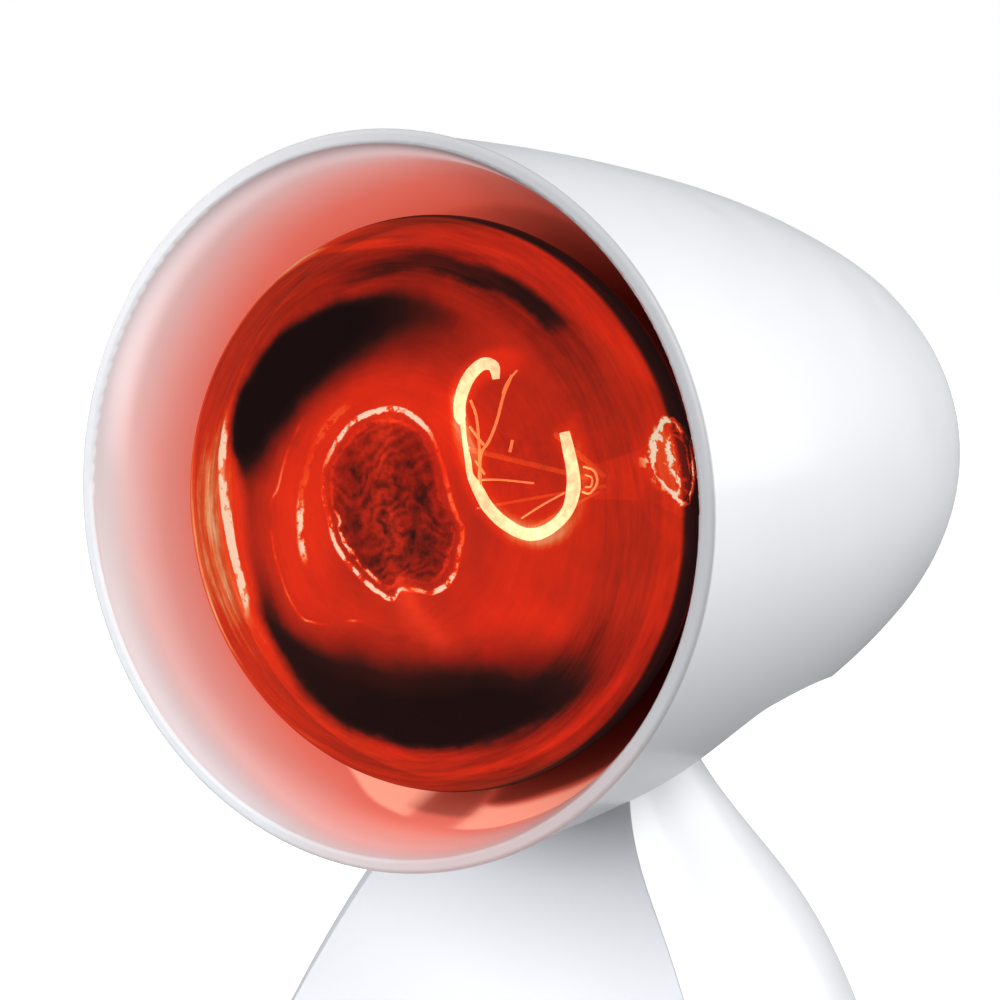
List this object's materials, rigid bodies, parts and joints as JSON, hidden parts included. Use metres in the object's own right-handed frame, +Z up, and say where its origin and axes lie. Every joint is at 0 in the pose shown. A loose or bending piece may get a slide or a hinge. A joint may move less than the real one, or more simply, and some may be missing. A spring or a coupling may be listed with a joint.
{
  "type": "infrared heat therapy lamp",
  "caption": "Infrared lamp with a red reflector bulb in a bullet-shaped white head that tilts in steps on a flared foot with a rocker switch.",
  "frame": {"origin": "on the table, under the middle of the lamp's overall box", "axes": "+Z up, -Y the way the lamp faces with its head level, +X to the right of someone who looks into the mouth"},
  "size_m": [0.1331, 0.166, 0.198],
  "materials": {
    "housing_white": "satin gloss",
    "liner_white": "satin gloss",
    "foot_grey": "satin",
    "foot_white": "satin gloss",
    "plate_grey": "matte",
    "pad_rubber": "matte",
    "red_glass": "clear gloss",
    "clear_glass": "clear gloss",
    "black_glass": "gloss",
    "cap_metal": "rolled",
    "lead_wire": "drawn",
    "tungsten": "coiled",
    "ceramic": "glazed",
    "brass": "rolled",
    "zinc_steel": "zinc plated",
    "spring_steel": "blued",
    "die_cast": "cast",
    "nylon": "matte",
    "silicone": "matte",
    "sleeve_fibre": "braided",
    "wire_insulation": "matte",
    "switch_white": "gloss",
    "switch_frame": "fine texture"
  },
  "bodies": {
    "base": {"foot_front_cover": "foot_grey", "foot_rear_shell": "foot_white", "base_plate": "plate_grey", "rubber_pads": "pad_rubber", "base_screws": "zinc_steel", "hinge_bracket": "zinc_steel", "bracket_screws": "zinc_steel", "pivot_pin": "zinc_steel", "pivot_clip": "zinc_steel", "friction_washers": "nylon", "detent_spring": "spring_steel", "spring_screw": "zinc_steel", "hinge_sleeve": "sleeve_fibre", "foot_wires": "wire_insulation", "switch_body": "switch_frame", "switch_tabs": "brass", "terminal_block": "nylon", "terminal_sleeves": "brass", "cord_bushing": "pad_rubber"},
    "head": {"head_housing": "housing_white", "mouth_liner": "liner_white", "lampholder_body": "ceramic", "lampholder_shell": "brass", "lampholder_contact": "brass", "lampholder_bracket": "zinc_steel", "lampholder_screws": "zinc_steel", "lampholder_nuts": "zinc_steel", "liner_screws": "zinc_steel", "tilt_knuckle": "die_cast", "knuckle_screws": "zinc_steel", "detent_disc": "zinc_steel", "wire_grommet": "silicone", "head_wires": "wire_insulation"},
    "bulb": {"bulb_glass": "red_glass", "bulb_cap": "cap_metal", "bulb_insulator": "black_glass", "bulb_contact": "cap_metal", "bulb_stem": "clear_glass", "bulb_leads": "lead_wire", "bulb_filament": "tungsten"},
    "rocker": {"switch_rocker": "switch_white"}
  },
  "joints": [
    {"name": "head_tilt", "type": "hinge", "parent": "base", "child": "head", "pos_m": [0, -0.019, 0.0935], "axis": [-1, 0, 0], "range_deg": [0, 40], "deforming": ["hinge_sleeve", "detent_spring"]},
    {"name": "bulb_out", "type": "slide", "parent": "head", "child": "bulb", "axis": [0, -1, 0], "range_m": [0, 0.034]},
    {"name": "switch_rock", "type": "hinge", "parent": "base", "child": "rocker", "pos_m": [0, 0.026, 0.038], "axis": [-1, 0, 0], "range_deg": [0, 24]}
  ]
}
